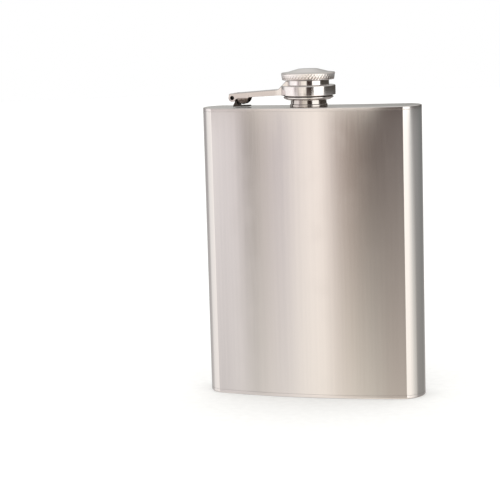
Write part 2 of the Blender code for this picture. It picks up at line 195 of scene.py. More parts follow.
RIVET_LOW_H = low("cap_rivet").z - TOP_Z
RIVET_NECK_H = SLEEVE_CEILING_H - 0.1
RIVET_TOP_H = high("cap_rivet").z - TOP_Z
RIVET_HOLE_H = RIVET_TOP_H + 0.1
GASKET_IN_R = 3.6
GASKET_OUT_R = high("gasket").x
GASKET_LOW_H = low("gasket").z - TOP_Z
GASKET_TOP_H = high("gasket").z - TOP_Z

ROUND_STEPS = 128
KNURL_STEPS = 8  # in each diamond, both ways
THREAD_STEPS = 20  # in each pitch
CORNER_STEPS = 4
SHARP_ABOVE = math.radians(32)


# Outlines


def eased(share):
    """A share held between 0 and 1, with a soft start and end."""
    share = max(0.0, min(1.0, share))
    return share * share * (3 - 2 * share)


def arc(centre, radius, start, end, steps):
    """Points on an arc from angle start to angle end, in degrees."""
    angles = [math.radians(start + (end - start) * i / steps) for i in range(steps + 1)]
    return [(centre[0] + radius * math.cos(a), centre[1] + radius * math.sin(a)) for a in angles]


def rounded(corners):
    """A closed outline through (x, y, radius) corners, with an arc of that radius at each."""
    points = []
    for i, (x, y, radius) in enumerate(corners):
        here = Vector((x, y))
        if not radius:
            points.append((x, y))
            continue
        before = (Vector(corners[i - 1][:2]) - here).normalized()
        after = (Vector(corners[(i + 1) % len(corners)][:2]) - here).normalized()
        half = before.angle(after) / 2
        centre = here + (before + after).normalized() * (radius / math.sin(half))
        first = here + before * (radius / math.tan(half)) - centre
        last = here + after * (radius / math.tan(half)) - centre
        start = math.degrees(math.atan2(first.y, first.x))
        sweep = (math.degrees(math.atan2(last.y, last.x)) - start + 180) % 360 - 180
        points += arc(centre, radius, start, start + sweep, CORNER_STEPS)
    return points


def stretch(start, end, step):
    """Points along a straight line, at most step apart, without its last point."""
    length = math.hypot(end[0] - start[0], end[1] - start[1])
    count = max(1, math.ceil(length / step))
    shares = [i / count for i in range(count)]
    return [(start[0] + (end[0] - start[0]) * s, start[1] + (end[1] - start[1]) * s) for s in shares]


def crossings(centre_a, radius_a, centre_b, radius_b):
    """The two points where two circles cross."""
    dx = centre_b[0] - centre_a[0]
    dy = centre_b[1] - centre_a[1]
    apart = math.hypot(dx, dy)
    along = (radius_a**2 - radius_b**2 + apart**2) / (2 * apart)
    aside = math.sqrt(radius_a**2 - along**2)
    foot = (centre_a[0] + along * dx / apart, centre_a[1] + along * dy / apart)
    turn = (-aside * dy / apart, aside * dx / apart)
    return (foot[0] + turn[0], foot[1] + turn[1]), (foot[0] - turn[0], foot[1] - turn[1])


def angle_to(centre, point):
    return math.degrees(math.atan2(point[1] - centre[1], point[0] - centre[0]))


def body_outline(inset):
    """The body's section, anticlockwise from the middle of the front, moved in by inset."""
    end_x = BODY_WIDTH / 2 - END_RADIUS
    end_drop = math.sqrt(END_RADIUS**2 - (CREASE_X - end_x) ** 2)
    end_y = FRONT_Y + FRONT_RISE + end_drop
    front_radius = (CREASE_X**2 + FRONT_RISE**2) / (2 * FRONT_RISE)
    back_radius = (CREASE_X**2 + BACK_RISE**2) / (2 * BACK_RISE)
    front_at = (0.0, FRONT_Y + front_radius)
    back_at = (0.0, FRONT_Y + BODY_DEPTH - BACK_RISE + back_radius)
    end_at = (end_x, end_y)
    crease = max(crossings(front_at, front_radius - CREASE_ROUND, end_at, END_RADIUS - CREASE_ROUND))
    corner = max(crossings(back_at, back_radius + BACK_ROUND, end_at, END_RADIUS - BACK_ROUND))
    creased = (angle_to(front_at, crease), angle_to(end_at, crease))
    cornered = (angle_to(end_at, corner), angle_to(corner, back_at))
    right = arc(front_at, front_radius - inset, -90, creased[0], 40)[:-1]
    right += arc(crease, CREASE_ROUND - inset, *creased, 6)[:-1]
    right += arc(end_at, END_RADIUS - inset, creased[1], cornered[0], 36)[:-1]
    right += arc(corner, BACK_ROUND - inset, *cornered, 10)[:-1]
    right += arc(back_at, back_radius + inset, angle_to(back_at, corner), -90, 32)
    left = [(-x, y) for x, y in reversed(right[1:-1])]
    return right + left


# Meshes, drawn in millimetres


def bridge(mesh, ring_a, ring_b):
    """Faces between two rings of vertices, with triangles where a ring is a single point."""
    count = len(ring_a)
    for i in range(count):
        j = (i + 1) % count
        corners = list(dict.fromkeys((ring_a[i], ring_a[j], ring_b[j], ring_b[i])))
        if len(corners) > 2:
            mesh.faces.new(corners)


def body_rings(mesh, levels):
    """Rings of the body's section at each (inset, z), with faces from each ring to the next."""
    rings = [[mesh.verts.new((x, y, z)) for x, y in body_outline(inset)] for inset, z in levels]
    for ring, after in zip(rings, rings[1:]):
        bridge(mesh, ring, after)
    return rings


def turned(outline, steps=ROUND_STEPS, shape=None):
    """A bmesh of an outline of (radius, H) points, turned about the neck's axis.

    shape gives the radius to use at each (radius, H, angle)."""
    mesh = bmesh.new()
    rings = []
    for radius, height in outline:
        z = TOP_Z + height
        if radius == 0:
            rings.append([mesh.verts.new((0, NECK_Y, z))] * steps)
            continue
        ring = []
        for i in range(steps):
            angle = 2 * math.pi * i / steps
            out = shape(radius, height, angle) if shape else radius
            ring.append(mesh.verts.new((out * math.cos(angle), NECK_Y + out * math.sin(angle), z)))
        rings.append(ring)
    for ring, after in zip(rings, rings[1:] + rings[:1]):
        bridge(mesh, ring, after)
    return mesh


def slab(outline, width, rounding):
    """A bmesh of an outline of (x, H) points, as wide as width along Y and centred on the arm.

    rounding gives the radius of the rim's edge at each (x, H)."""
    area = sum(a[0] * b[1] - b[0] * a[1] for a, b in zip(outline, outline[1:] + outline[:1]))
    points = [Vector(p) for p in (outline if area > 0 else outline[::-1])]
    count = len(points)
    inwards = []
    for i, point in enumerate(points):
        before = (point - points[i - 1]).normalized()
        after = (points[(i + 1) % count] - point).normalized()
        normals = Vector((-before.y, before.x)), Vector((-after.y, after.x))
        inwards.append((normals[0] + normals[1]) / (1 + normals[0].dot(normals[1])))
    mesh = bmesh.new()
    rings = []
    for side in (-1, 1):
        for k in range(CORNER_STEPS + 1):
            turn = math.radians(90) * (CORNER_STEPS - k if side < 0 else k) / CORNER_STEPS
            ring = []
            for point, inwards_here in zip(points, inwards):
                radius = rounding(point.x, point.y)
                at = point + inwards_here * radius * (1 - math.cos(turn))
                y = NECK_Y + side * (width / 2 - radius * (1 - math.sin(turn)))
                ring.append(mesh.verts.new((at.x, y, TOP_Z + at.y)))
            rings.append(ring)
    for ring, after in zip(rings, rings[1:]):
        bridge(mesh, ring, after)
    mesh.faces.new(rings[0])
    mesh.faces.new(rings[-1])
    return mesh


def loose(name, mesh):
    """An object of a bmesh, in the scene."""
    bmesh.ops.recalc_face_normals(mesh, faces=mesh.faces)
    data = bpy.data.meshes.new(name)
    mesh.to_mesh(data)
    mesh.free()
    obj = bpy.data.objects.new(name, data)
    bpy.context.scene.collection.objects.link(obj)
    return obj


def combined(mesh, *steps):
    """The bmesh after Booleans with (operation, bmesh) in turn."""
    for operation, tool in steps:
        base = loose("base", mesh)
        other = loose("tool", tool)
        modifier = base.modifiers.new("cut", "BOOLEAN")
        modifier.operation = operation
        modifier.object = other
        modifier.solver = "EXACT"
        evaluated = base.evaluated_get(bpy.context.evaluated_depsgraph_get())
        mesh = bmesh.new()
        mesh.from_mesh(evaluated.to_mesh())
        for obj in (base, other):
            bpy.data.objects.remove(obj, do_unlink=True)
    return mesh


def piece(name, mesh, material, body, node):
    """Makes a bmesh in millimetres into a piece that rides on a body and stands for a CAD node."""
    bmesh.ops.scale(mesh, vec=(MM, MM, MM), verts=mesh.verts)
    obj = loose(name, mesh)
    obj.data.shade_smooth()
    obj.data.set_sharp_from_angle(angle=SHARP_ABOVE)
    obj.data.materials.append(material)
    weighted = obj.modifiers.new("flat_faces", "WEIGHTED_NORMAL")
    weighted.keep_sharp = True
    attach(obj, body)
    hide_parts(node)


# Materials


def add(tree, kind, **values):
    """A shader node, with its properties and its sockets' values by name."""
    node = tree.nodes.new(kind)
    for name, value in values.items():
        if hasattr(node, name):
            setattr(node, name, value)
        else:
            node.inputs[name.replace("_", " ")].default_value = value
    return node


def spread(tree, socket, low_value, high_value, low_from=0.3, high_from=0.7):
    """Maps one range, a noise's usual one unless it is given, on to another, and stays inside it."""
    node = add(tree, "ShaderNodeMapRange")
    node.inputs["From Min"].default_value = low_from
    node.inputs["From Max"].default_value = high_from
    node.inputs["To Min"].default_value = low_value
    node.inputs["To Max"].default_value = high_value
    tree.links.new(socket, node.inputs["Value"])
    return node.outputs["Result"]


def noise(tree, place, per_mm, detail=2.0):
    """Noise with so many features in each millimetre along X, Y and Z of a place."""
    mapping = add(tree, "ShaderNodeMapping")
    mapping.inputs["Scale"].default_value = [n / MM for n in per_mm]
    tree.links.new(place, mapping.inputs["Vector"])
    texture = add(tree, "ShaderNodeTexNoise", Scale=1.0, Detail=detail)
    tree.links.new(mapping.outputs["Vector"], texture.inputs["Vector"])
    return texture.outputs["Fac"]


def xyz(tree, vector):
    """A vector's three parts, by name."""
    node = add(tree, "ShaderNodeSeparateXYZ")
    tree.links.new(vector, node.inputs["Vector"])
    return node.outputs


def lathe_place(tree, place):
    """The distance from the neck's axis and the height, as a place, for marks that run round it."""
    middle = add(tree, "ShaderNodeVectorMath", operation="SUBTRACT")
    middle.inputs[1].default_value = (0, NECK_Y * MM, 0)
    tree.links.new(place, middle.inputs[0])
    parts = xyz(tree, middle.outputs["Vector"])
    flat = add(tree, "ShaderNodeCombineXYZ")
    tree.links.new(parts["X"], flat.inputs["X"])
    tree.links.new(parts["Y"], flat.inputs["Y"])
    distance = add(tree, "ShaderNodeVectorMath", operation="LENGTH")
    tree.links.new(flat.outputs["Vector"], distance.inputs[0])
    made = add(tree, "ShaderNodeCombineXYZ")
    tree.links.new(distance.outputs["Value"], made.inputs["X"])
    tree.links.new(parts["Z"], made.inputs["Z"])
    return made.outputs["Vector"]


def blank(name):
    """A new material, with its node tree, its shader and the place it is drawn at."""
    made = bpy.data.materials.new(name)
    made.use_nodes = True
    tree = made.node_tree
    return made, tree, tree.nodes["Principled BSDF"], add(tree, "ShaderNodeTexCoord").outputs["Object"]


def ramp(tree, stops, scale=1.0):
    """A colour ramp through (position, colour) stops."""
    node = add(tree, "ShaderNodeValToRGB")
    elements = node.color_ramp.elements
    while len(elements) < len(stops):
        elements.new(1.0)
    for element, (position, colour) in zip(elements, stops):
        element.position = position
        element.color = (*[c * scale for c in colour], 1)
    return node


def math_node(tree, operation, a, b):
    """A sum, product or the like of sockets and numbers."""
    node = add(tree, "ShaderNodeMath", operation=operation)
    for socket, value in zip(node.inputs, (a, b)):
        if isinstance(value, float):
            socket.default_value = value
        else:
            tree.links.new(value, socket)
    return node.outputs["Value"]


def product(tree, first, *others):
    """The product of sockets and numbers."""
    for other in others:
        first = math_node(tree, "MULTIPLY", first, other)
    return first


def mixed(tree, share, first, second, blend="MIX"):
    """A colour blended with a second one by a share. The second is a socket or a plain colour."""
    node = add(tree, "ShaderNodeMixRGB", blend_type=blend)
    tree.links.new(share, node.inputs["Fac"])
    tree.links.new(first, node.inputs["Color1"])
    if isinstance(second, tuple):
        node.inputs["Color2"].default_value = (*second, 1)
    else:
        tree.links.new(second, node.inputs["Color2"])
    return node.outputs["Color"]


def roughen(tree, shader, height, depth):
    """Bumps depth millimetres deep."""
    bump = add(tree, "ShaderNodeBump", Strength=1.0, Distance=depth * MM)
    tree.links.new(height, bump.inputs["Height"])
    tree.links.new(bump.outputs["Normal"], shader.inputs["Normal"])


# Tints are multiplied into a steel's colour, over a part of the piece that its place picks out.
BEAM_TINT = (0.80, 0.78, 0.78)  # the beam's colour is darker than the hood's
BEAM_FADE = 1.5  # before the ramp's foot, where this tint fades out
LUG_SHADE_TINT = (0.16, 0.12, 0.09)  # painted shade under the lugs
LUG_SHADE_FROM = 0.9  # how far past the ear's edge the painted shade has its full strength
LUG_SHADE_EDGE = (-0.3, 0.2)  # from the top of the lugs to where the painted shade is full and where it ends
KNURL_SHADE_TINT = (0.34, 0.27, 0.23)  # painted shade in the knurl's grooves
KNURL_SHADE_DEPTH = (0.7, 0.95)  # how deep in a groove the painted shade starts and is full, in groove depths
KNURL_SHADE_LIMIT = (2, 3)  # what lies this much deeper isn't the knurl, in groove depths
KNURL_SHADE_EDGE = 0.2  # below the rim's top edge, where the painted shade ends
BEAD_SHADE_TINT = (0.10, 0.08, 0.07)  # painted shadow over the sleeve's bead, in the crease under the hood's lower edge
BEAD_SHADE_EDGE = 0.1  # below the bead's top, where this painted shadow starts
SMUDGE = 0.04  # how much rougher the steel is where it has been handled


def darker_beam_and_lug_shade(tree, place, colour):
    """The arm's colour: its beam is darker than its hood, and painted shade darkens its lugs underneath.
    """
    parts = xyz(tree, place)
    beam_end = RAMP_FOOT[0] * MM
    beam = spread(tree, parts["X"], 1.0, 0.0, beam_end - BEAM_FADE * MM, beam_end)
    # Painted shade: the lugs are darkened underneath, where their shade falls.
    ear_end = (PIVOT_X + EAR_R) * MM
    past_ear = spread(tree, parts["X"], 0.0, 1.0, ear_end, ear_end + LUG_SHADE_FROM * MM)
    full, none = ((TOP_Z + LUG_TOP_H + off) * MM for off in LUG_SHADE_EDGE)
    below = spread(tree, parts["Z"], 1.0, 0.0, full, none)
    patchy = spread(tree, noise(tree, place, (1.6, 1.6, 1.6), 3.0), 0.65, 1.0)
    colour = mixed(tree, beam, colour, BEAM_TINT, "MULTIPLY")
    return mixed(tree, product(tree, past_ear, below, patchy), colour, LUG_SHADE_TINT, "MULTIPLY")


def knurl_groove_shade(tree, place, colour):
    """Painted shade in the grooves of the crown's knurl."""
    parts = xyz(tree, lathe_place(tree, place))
    bottom_z = (TOP_Z + CROWN_BOTTOM_H) * MM
    edge_z = (TOP_Z + CROWN_EDGE_H) * MM
    depth = KNURL_DEPTH * MM
    surface = spread(tree, parts["Z"], CROWN_BOTTOM_R * MM, CROWN_TOP_R * MM, bottom_z, edge_z)
    sunk = math_node(tree, "SUBTRACT", surface, parts["X"])
    groove = spread(tree, sunk, 0.0, 1.0, *(share * depth for share in KNURL_SHADE_DEPTH))
    near_surface = spread(tree, sunk, 1.0, 0.0, *(share * depth for share in KNURL_SHADE_LIMIT))
    below_edge = spread(tree, parts["Z"], 1.0, 0.0, edge_z - KNURL_SHADE_EDGE * MM, edge_z)
    return mixed(tree, product(tree, groove, near_surface, below_edge), colour, KNURL_SHADE_TINT, "MULTIPLY")


def bead_crease_shadow(tree, place, colour):
    """Painted shadow in the crease between the sleeve's bead and the hood's lower edge."""
    bead_z = (TOP_Z + BEAD_TOP_H) * MM
    share = spread(tree, xyz(tree, place)["Z"], 0.0, 1.0, bead_z - BEAD_SHADE_EDGE * MM, bead_z)
    return mixed(tree, share, colour, BEAD_SHADE_TINT, "MULTIPLY")


def metal(name, colour, rough, grain, depth, lathe=False, anisotropic=0.0, shade=0.05, tint=None):
    """Steel with so many grain lines in each millimetre, uneven polish and faint handling marks.

    On a lathe, the grain runs round the neck's axis. tint changes the colour over a part of a piece."""
    made, tree, shader, place = blank(name)
    shader.inputs["Metallic"].default_value = 1.0
    shader.inputs["Anisotropic"].default_value = anisotropic
    along = lathe_place(tree, place) if lathe else place
    fine = noise(tree, along, grain, 3.0)
    broad = noise(tree, along, [lines / 9 for lines in grain])
    marks = noise(tree, place, (0.07, 0.07, 0.07), 4.0)
    lines = math_node(tree, "ADD", product(tree, fine, 0.5), product(tree, broad, 0.5))
    darker = [c * (1 - shade) for c in colour]
    lighter = [c * (1 + shade) for c in colour]
    tones = ramp(tree, ((0.35, darker), (0.65, lighter)))
    tree.links.new(lines, tones.inputs["Fac"])
    toned = tones.outputs["Color"]
    if tint:
        toned = tint(tree, place, toned)
    tree.links.new(toned, shader.inputs["Base Color"])
    grained = spread(tree, fine, rough * 0.85, rough * 1.15)
    handled = spread(tree, marks, 0.0, SMUDGE, 0.5, 0.8)
    tree.links.new(math_node(tree, "ADD", grained, handled), shader.inputs["Roughness"])
    roughen(tree, shader, fine, depth)
    if anisotropic:
        tangent = add(tree, "ShaderNodeTangent", direction_type="RADIAL", axis="Z")
        tree.links.new(tangent.outputs["Tangent"], shader.inputs["Tangent"])
    return made


def silicone(name, colour):
    """Matt silicone with a fine moulded texture and a little dust."""
    made, tree, shader, place = blank(name)
    shader.inputs["IOR"].default_value = 1.41
    fine = noise(tree, place, (6, 6, 6), 3.0)
    tones = ramp(tree, ((0.3, [c * 0.9 for c in colour]), (0.7, colour)))
    tree.links.new(noise(tree, place, (0.4, 0.4, 0.4), 4.0), tones.inputs["Fac"])
    tree.links.new(tones.outputs["Color"], shader.inputs["Base Color"])
    tree.links.new(spread(tree, fine, 0.5, 0.65), shader.inputs["Roughness"])
    roughen(tree, shader, fine, 0.01)
    return made


UPRIGHT = {"rough": 0.105, "grain": (7, 7, 0.05), "depth": 0.001, "anisotropic": 0.5, "shade": 0.02}
TURNED = {"rough": 0.12, "grain": (7, 7, 7), "depth": 0.002, "lathe": True}
STEEL = (0.80, 0.76, 0.74)
BODY_STEEL = metal("satin_steel_upright", (0.755, 0.723, 0.697), **UPRIGHT)
PLATE_STEEL = metal("satin_steel_across", (0.76, 0.72, 0.70), 0.15, (0.06, 7, 7), 0.004)
# The arm's tint darkens its beam and paints shade under its lugs.
ARM_STEEL = metal("polished_steel", STEEL, 0.11, (0.12, 9, 9), 0.0015, tint=darker_beam_and_lug_shade)
LATHE_STEEL = metal("turned_steel", STEEL, **TURNED)
# The crown's tint paints shade in the knurl's grooves.
CROWN_STEEL = metal("knurled_steel", (0.92, 0.88, 0.86), **TURNED, tint=knurl_groove_shade)
# The sleeve's tint paints a shadow in the crease over its bead.
SLEEVE_STEEL = metal("turned_sleeve_steel", STEEL, **TURNED, tint=bead_crease_shadow)
NECK_STEEL = metal("duller_turned_steel", (0.56, 0.52, 0.49), 0.14, (7, 7, 7), 0.002, lathe=True)
# Painted shade: the bracket's near-black colour stands for the shade it sits in by the hinge.
BRACKET_STEEL = metal("tumbled_steel_painted_shade", (0.06, 0.052, 0.047), 0.34, (3, 3, 3), 0.01, shade=0.2)
# Dark spring steel, made near black as painted shade of the pin's bore.
PIN_STEEL = metal("dark_spring_steel_painted_shade", (0.035, 0.032, 0.03), 0.35, (0.3, 12, 12), 0.004, shade=0.12)
SEAL = silicone("white_silicone", (0.86, 0.85, 0.81))


# Pieces of the body


def body_wall():
    """The wrapped wall, with its edges eased where they meet the end plates."""
    top = TOP_Z - RIM_HEIGHT - SEAM
    bottom = RIM_HEIGHT + SEAM
    levels = arc((SEAM_ROUND, bottom + SEAM_ROUND), SEAM_ROUND, -90, -180, 3)
    levels += [(0, bottom + (top - bottom) * step / WALL_STEPS) for step in range(1, WALL_STEPS)]
    levels += arc((SEAM_ROUND, top - SEAM_ROUND), SEAM_ROUND, 180, 90, 3)
    levels += [(WALL, top), (WALL, bottom)]
    mesh = bmesh.new()
    rings = body_rings(mesh, levels)
    bridge(mesh, rings[-1], rings[0])
    piece("body_wall", mesh, BODY_STEEL, "flask", "body_wrap")


def end_panel(end_z, inwards):
    """An end plate: a flat panel with a rounded rim, and a flange that stands inside the wall."""
    flange = WALL + GAP
    levels = [(flange + WALL, RIM_HEIGHT + FLANGE_DEPTH), (flange, RIM_HEIGHT + FLANGE_DEPTH)]
    levels += [(flange, RIM_HEIGHT)]
    levels += arc((SEAM_ROUND, RIM_HEIGHT - SEAM_ROUND), SEAM_ROUND, 90, 180, 3)
    levels += arc((RIM_RADIUS, RIM_RADIUS), RIM_RADIUS, 180, 270, 8)
    deepest = CREASE_ROUND - 0.1  # the crease's rounding can't be moved in any further
    mesh = bmesh.new()
    rings = body_rings(mesh, [(min(inset, deepest), end_z + inwards * depth) for inset, depth in levels])
    floor_ring = [mesh.verts.new((v.co.x, v.co.y, end_z + inwards * WALL)) for v in rings[0]]
    bridge(mesh, floor_ring, rings[0])
    mesh.faces.new(floor_ring)
    mesh.faces.new(rings[-1])
    return mesh


def top_panel():
    """The top plate, with a hole for the neck's spigot."""
    hole_r = NECK_SPIGOT_R + GAP
    hole = turned([(0, -2 * WALL), (hole_r, -2 * WALL), (hole_r, WALL), (0, WALL)])
    mesh = combined(end_panel(TOP_Z, -1), ("DIFFERENCE", hole))
    piece("top_panel", mesh, PLATE_STEEL, "flask", "top_plate")


def base_panel():
    """The bottom plate."""
    piece("base_panel", end_panel(0, 1), PLATE_STEEL, "flask", "bottom_plate")


def helix(root, crest, low_h, high_h):
    """A rolled thread from low_h to high_h, as a shape for turned."""
    turns = (high_h - low_h) / THREAD_PITCH

    def radius_at(radius, height, angle):
        if abs(radius - root) > 0.01:
            return radius
        around = angle / (2 * math.pi)
        turn = round((height - low_h) / THREAD_PITCH - around) + around
        grown = max(0.0, min(1.0, turn / THREAD_RUNOUT, (turns - turn) / THREAD_RUNOUT))
        off = abs(height - low_h - THREAD_PITCH * turn) / THREAD_PITCH
        return radius + (crest - root) * grown * eased((THREAD_HALF - off) / THREAD_FLANK)

    return radius_at


def pouring_neck():
    """The neck: a spigot through the top plate, a foot, a tapered collar and the thread."""
    root = NECK_THREAD_R
    corners = [(NECK_BORE_R, NECK_TOP_H, 0.35), (NECK_BORE_R, NECK_SPIGOT_H, 0.2)]
    corners += [(NECK_SPIGOT_R, NECK_SPIGOT_H, 0.1), (NECK_SPIGOT_R, NECK_FOOT_LOW_H, 0)]
    corners += [(NECK_FOOT_R, NECK_FOOT_LOW_H, 0.08), (NECK_FOOT_R, NECK_FOOT_H, 0.3)]
    corners += [(NECK_BASE_R, NECK_FOOT_H, 0.12)]
    corners += [(NECK_COLLAR_R, NECK_COLLAR_H, 0.15), (root, NECK_COLLAR_H + THREAD_DEPTH, 0)]
    corners += [(root, NECK_TOP_H, 0.35)]
    outline = rounded(corners)
    start = outline.index((root, NECK_COLLAR_H + THREAD_DEPTH))
    step = THREAD_PITCH / THREAD_STEPS
    outline[start : start + 1] = stretch(outline[start], outline[start + 1], step)
    shape = helix(root, root + THREAD_DEPTH, NECK_COLLAR_H + THREAD_PITCH, NECK_TOP_H - THREAD_PITCH / 2)
    piece("pouring_neck", turned(outline, shape=shape), NECK_STEEL, "flask", "neck")


# Pieces of the hinge


def pin_hole(radius, width):
    """A tool that cuts a hole for the pin through a piece of some width."""
    return slab(arc((PIVOT_X, PIVOT_H), radius, 0, 360, 48)[:-1], 2 * width, lambda *at: 0.1)


def hinge_post():
    """The bracket: a foot on the top plate, and a strip that leans up and curls round the pin."""
    x = PIVOT_X
    corners = [(x + POST_BACK - FOOT_HEEL, FOOT_LOW_H, 0.1), (x + FOOT_LENGTH, FOOT_LOW_H, 0.1)]
    corners += [(x + FOOT_LENGTH, FOOT_TOP_H, 0.25), (x + POST_FRONT, FOOT_TOP_H, 0.5)]
    outline = rounded(corners + [(x + POST_FRONT - POST_LEAN, PIVOT_H, 0)])[:-1]
    outline += arc((x, PIVOT_H), KNUCKLE_R, *KNUCKLE_ARC, 40)
    outline += [(x + POST_BACK, FOOT_TOP_H)]
    mesh = slab(outline, BRACKET_WIDTH, lambda *at: EDGE_ROUND)
    mesh = combined(mesh, ("DIFFERENCE", pin_hole(POST_HOLE_R, BRACKET_WIDTH)))
    piece("hinge_post", mesh, BRACKET_STEEL, "flask", "hinge_bracket")


def rolled_pin():
    """A rolled spring pin, with its slit underneath."""
    pivot = (PIVOT_X, PIVOT_H)
    start = -90 + PIN_SLIT / 2
    outline = arc(pivot, PIN_R, start, start + 360 - PIN_SLIT, 48)
    outline += arc(pivot, PIN_BORE_R, start + 360 - PIN_SLIT, start, 48)
    mesh = slab(outline, PIN_LENGTH, lambda *at: 0.08)
    piece("rolled_pin", mesh, PIN_STEEL, "flask", "hinge_pin")


# Arm


def beam_outline():
    """The side view of the arm from its ears to inside the hood."""
    lug_x = PIVOT_X + LUG_X
    drop = (LUG_TOP_H - LUG_BOTTOM_H) / LUG_HALF
    inside_x = RAMP_TOP[0] + COLLAR_R / 2
    corners = [(inside_x, BEAM_BOTTOM_H, 0), (RAMP_FOOT[0], BEAM_BOTTOM_H, 1.0)]
    corners += [(lug_x + LUG_HALF + LUG_TOE[0], LUG_TOP_H + LUG_TOE[1], 0.5)]
    outline = rounded(corners + [(lug_x + LUG_HALF, LUG_TOP_H, 0)])[:-1]
    outline += [(lug_x + x, LUG_TOP_H + drop * y) for x, y in arc((0, 0), LUG_HALF, *LUG_ARC, 28)]
    outline += arc((PIVOT_X, PIVOT_H), EAR_R, *EAR_ARC, 30)
    top = [(PIVOT_X - EAR_R, EAR_TIP_H, 0.9), (*RAMP_FOOT, 1.5), (*RAMP_TOP, 0.8)]
    top += [(inside_x, RAMP_TOP[1], 0)]
    return outline + rounded(top + [(inside_x, BEAM_BOTTOM_H, 0), (*outline[-1], 0)])[:-2]


def channel_outline():
    """The space inside the beam, open below and, between the ears, above."""
    web_x = PIVOT_X + EAR_LENGTH
    slope = (RAMP_FOOT[1] - EAR_TOP_H) / (RAMP_FOOT[0] - PIVOT_X)
    web_h = EAR_TOP_H + slope * EAR_LENGTH - SHEET
    end_x = -HOOD_R - SHEET
    below = PIVOT_H - HOOD_R
    beyond = PIVOT_X - HOOD_R
    corners = [(beyond, below, 0), (end_x, below, 0), (end_x, web_h + slope * (end_x - web_x), 0.8)]
    corners += [(web_x, web_h, 0.3), (web_x, HOOD_R, 0), (beyond, HOOD_R, 0)]
    return rounded(corners)


def cut_across(mesh, place, normal):
    """Splits every face that a plane crosses."""
    everything = mesh.verts[:] + mesh.edges[:] + mesh.faces[:]
    bmesh.ops.bisect_plane(mesh, geom=everything, plane_co=place, plane_no=normal)


def narrowed(mesh):
    """Narrows the beam behind its ears, and turns the lower edge of each lug in."""
    start, end = (PIVOT_X + along for along in JOGGLE)
    for i in range(BEND_CUTS + 1):
        cut_across(mesh, (start + (end - start) * i / BEND_CUTS, 0, 0), (1, 0, 0))
    for i in range(BEND_CUTS):
        cut_z = TOP_Z + LUG_TOP_H - (LUG_TOP_H - LUG_BOTTOM_H) * i / BEND_CUTS
        cut_across(mesh, (0, 0, cut_z), (0, 0, 1))
    for vert in mesh.verts:
        x, y, z = vert.co
        share = eased((x - start) / (end - start))
        y = (y - NECK_Y) * (1 - share * (1 - BEAM_WIDTH / ARM_WIDTH))
        below = max(0.0, (TOP_Z + LUG_TOP_H - z) / (LUG_TOP_H - LUG_BOTTOM_H))
        if x > PIVOT_X + LUG_X - LUG_HALF:
            y -= math.copysign(LUG_CURL * below**2, y)
        vert.co.y = NECK_Y + y


def hood_outline():
    """The hood's sheet, from the skirt's lower edge over the shoulder to the stem's hole and back."""
    hole_r = STEM_R + STEM_GAP
    corners = [(HOOD_R - SHEET, HOOD_BOTTOM_H, 0.15), (HOOD_R, HOOD_BOTTOM_H, 0.2)]
    corners += [(HOOD_R, HOOD_SHOULDER_H, HOOD_ROUND), (COLLAR_R, HOOD_SHOULDER_H, 0.25)]
    corners += [(COLLAR_R, COLLAR_TOP_H, 0.45), (hole_r, COLLAR_TOP_H, 0.15)]
    corners += [(hole_r, COLLAR_TOP_H - SHEET, 0.15), (COLLAR_R - SHEET, COLLAR_TOP_H - SHEET, 0.1)]
    corners += [(COLLAR_R - SHEET, HOOD_SHOULDER_H - SHEET, 0.5)]
    corners += [(HOOD_R - SHEET, HOOD_SHOULDER_H - SHEET, 0.1)]
    return rounded(corners)


def beam_rounding(x, height):
    """Wide bends along the top of the beam, and eased edges elsewhere."""
    share = eased((height - ROUND_FROM_H) / (ROUND_TO_H - ROUND_FROM_H))
    return EDGE_ROUND + (BEAM_ROUND - EDGE_ROUND) * share


def cap_lever():
    """The stamped arm: ears, channel beam, ramp, and the hood that holds the cap."""
    half = SHEET / 2
    core_r = HOOD_R - half
    core_h = HOOD_SHOULDER_H - half
    bevel = 0.4
    core = [(0, 0), (core_r, 0), (core_r, core_h - bevel), (core_r - bevel, core_h)]
    core += [(COLLAR_R - half, core_h), (COLLAR_R - half, COLLAR_TOP_H - half), (0, COLLAR_TOP_H - half)]
    beam = slab(beam_outline(), ARM_WIDTH, beam_rounding)
    channel = slab(channel_outline(), ARM_WIDTH - 2 * SHEET, lambda *at: 0.05)
    beam = combined(beam, ("DIFFERENCE", channel), ("DIFFERENCE", pin_hole(PIN_HOLE_R, ARM_WIDTH)))
    narrowed(beam)
    beam = combined(beam, ("DIFFERENCE", turned(core)))
    hood = combined(turned(hood_outline()), ("UNION", beam))
    piece("cap_lever", hood, ARM_STEEL, "arm", "lever_arm")


# Pieces of the cap


def knurl(low_h, high_h):
    """Diamonds cut by two sets of crossing grooves, as a shape for turned."""
    middle = (low_h + high_h) / 2
    half = (high_h - low_h) / 2

    def radius_at(radius, height, angle):
        from_edge = half - abs(height - middle)
        if from_edge < 0 or radius < CROWN_BOTTOM_R - KNURL_DEPTH:
            return radius
        around = angle * KNURL_COUNT / (2 * math.pi)
        along = (height - low_h) / (high_h - low_h) * KNURL_ROWS
        main, cross = (abs(1 - 2 * ((around + way * along) % 1)) for way in (-1, 1))  # 1 in a groove
        sunk = max(1 - math.cos(math.pi * main), KNURL_CROSS * (1 - math.cos(math.pi * cross))) / 2
        return radius - KNURL_DEPTH * sunk * min(1.0, from_edge / KNURL_FADE)

    return radius_at


